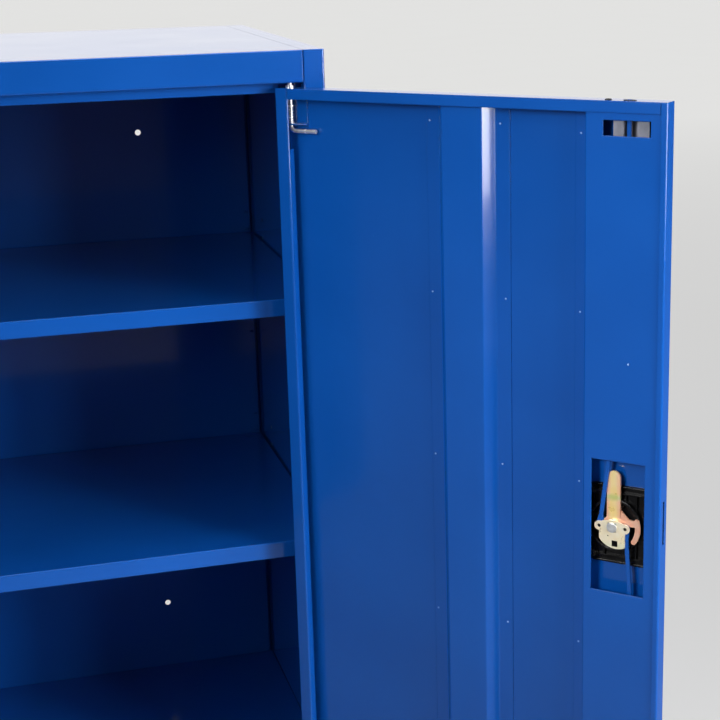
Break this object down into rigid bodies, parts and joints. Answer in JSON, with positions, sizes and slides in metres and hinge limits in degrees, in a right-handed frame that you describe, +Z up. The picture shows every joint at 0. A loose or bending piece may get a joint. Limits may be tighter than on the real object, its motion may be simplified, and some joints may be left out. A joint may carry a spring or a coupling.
{
  "type": "two-door tool cabinet",
  "caption": "Low steel storage cabinet with hinged double doors, adjustable inner shelves, spring hinge pins and a turning lock that works a tongue and long rods.",
  "frame": {"origin": "on the floor at mid-width, at the middle of the front foot flange under the plinth", "axes": "+Z up, +X to the right seen from the front, +Y from the doors towards the back panel; both doors stand open at rest"},
  "size_m": [1.5492, 0.835, 1],
  "materials": {
    "blue_paint": "gloss",
    "zinc_plate": "yellow passivated zinc",
    "bright_steel": "bright zinc",
    "black_plastic": "fine grain",
    "grey_nylon": "moulded"
  },
  "bodies": {
    "cabinet": {"left_side_panel": "blue_paint", "right_side_panel": "blue_paint", "back_panel": "blue_paint", "top_panel": "blue_paint", "top_side_strips": "blue_paint", "bottom_panel": "blue_paint", "upper_shelf": "blue_paint", "lower_shelf": "blue_paint", "shelf_clips": "bright_steel", "bottom_pivot_pins": "bright_steel", "bottom_pivot_washers": "grey_nylon"},
    "left_door": {"left_door_pan": "blue_paint", "left_door_stiffener": "blue_paint", "left_door_edge_channel": "blue_paint", "left_door_meeting_strip": "blue_paint", "left_hinge_bracket": "blue_paint", "left_hinge_washer": "bright_steel"},
    "right_door": {"right_door_pan": "blue_paint", "right_door_stiffener": "blue_paint", "right_door_lock_channel": "blue_paint", "right_hinge_bracket": "blue_paint", "right_hinge_washer": "bright_steel", "lock_housing": "black_plastic", "lock_escutcheon": "black_plastic", "lock_screws": "bright_steel", "upper_rod_guide": "grey_nylon", "lower_rod_guide": "grey_nylon", "rod_bushes": "black_plastic", "guide_screws": "bright_steel"},
    "left_pin": {"left_hinge_pin": "bright_steel", "left_hinge_clip": "bright_steel", "left_hinge_spring": "bright_steel"},
    "right_pin": {"right_hinge_pin": "bright_steel", "right_hinge_clip": "bright_steel", "right_hinge_spring": "bright_steel"},
    "lock": {"lock_knob": "black_plastic", "lock_spindle": "bright_steel", "lock_tongue": "zinc_plate", "lock_spacer": "bright_steel", "cam_plate": "zinc_plate"},
    "key": {"key_plug": "bright_steel"},
    "upper_rod": {"upper_rod": "blue_paint"},
    "lower_rod": {"lower_rod": "blue_paint"}
  },
  "joints": [
    {"name": "left_door_swing", "type": "hinge", "parent": "cabinet", "child": "left_door", "pos_m": [-0.4509, -0.007, 0.5], "axis": [0, 0, -1], "range_deg": [-134.4, 3]},
    {"name": "right_door_swing", "type": "hinge", "parent": "cabinet", "child": "right_door", "pos_m": [0.4509, -0.007, 0.5], "axis": [0, 0, 1], "range_deg": [-134.4, 3]},
    {"name": "left_pin_pull", "type": "slide", "parent": "left_door", "child": "left_pin", "axis": [0, 0, 1], "range_m": [-0.01, 0], "stiffness_N_per_m": 400, "springref_m": 0.008, "deforming": ["left_hinge_spring"]},
    {"name": "right_pin_pull", "type": "slide", "parent": "right_door", "child": "right_pin", "axis": [0, 0, 1], "range_m": [-0.01, 0], "stiffness_N_per_m": 400, "springref_m": 0.008, "deforming": ["right_hinge_spring"]},
    {"name": "lock_turn", "type": "hinge", "parent": "right_door", "child": "lock", "pos_m": [0.73029, -0.28444, 0.509], "axis": [0.7145, 0.6997, 0], "range_deg": [0, 90]},
    {"name": "key_turn", "type": "hinge", "parent": "lock", "child": "key", "pos_m": [0.73029, -0.28444, 0.509], "axis": [0.7145, 0.6997, 0], "range_deg": [0, 90]},
    {"name": "upper_rod_turn", "type": "hinge", "parent": "lock", "child": "upper_rod", "pos_m": [0.71114, -0.28247, 0.509], "axis": [0.7145, 0.6997, 0], "range_deg": [-91.7, 0]},
    {"name": "lower_rod_turn", "type": "hinge", "parent": "lock", "child": "lower_rod", "pos_m": [0.73185, -0.30362, 0.509], "axis": [0.7145, 0.6997, 0], "range_deg": [-91.9, 0]}
  ],
  "couplings": [
    {"joint": "upper_rod_turn", "follows": "lock_turn", "ratio": -1.0178},
    {"joint": "lower_rod_turn", "follows": "lock_turn", "ratio": -1.0206}
  ]
}
